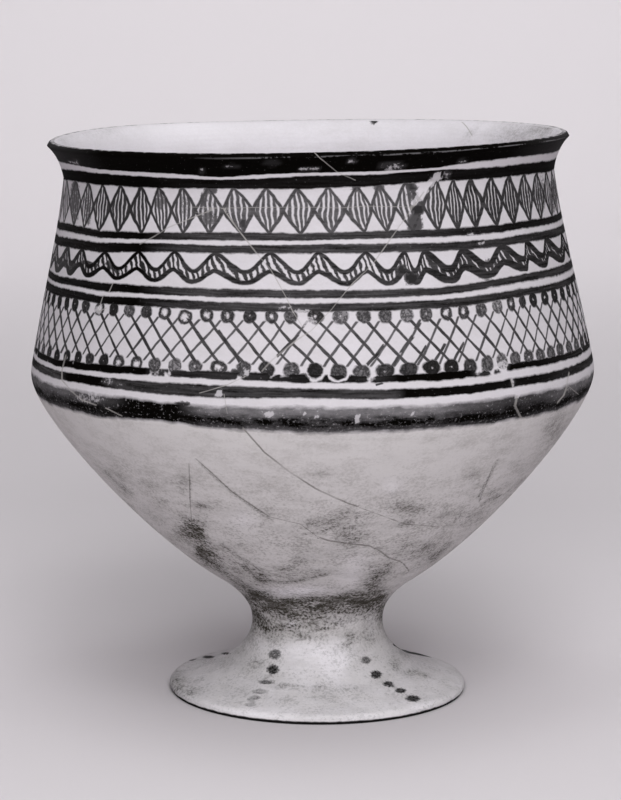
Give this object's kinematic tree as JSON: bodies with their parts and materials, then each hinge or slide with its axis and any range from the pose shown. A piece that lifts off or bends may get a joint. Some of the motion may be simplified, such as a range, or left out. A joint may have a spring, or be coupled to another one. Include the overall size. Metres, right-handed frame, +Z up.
{
  "type": "goblet",
  "caption": "Footed goblet of thin fired clay: a wide open bowl with a sharp shoulder and turned-out lip, on a short stem and low flaring foot, painted in dark bands.",
  "frame": {"origin": "centre of the bounding box at the level of the foot's resting ring", "axes": "+Z up, -Y towards the side that the picture shows, +X to its right; the bowl leans a little towards -X"},
  "size_m": [0.1494, 0.1494, 0.151],
  "materials": {
    "painted_clay": "matte, unglazed, with dark painted bands"
  },
  "bodies": {
    "root": {"goblet": "painted_clay"}
  },
  "joints": []
}
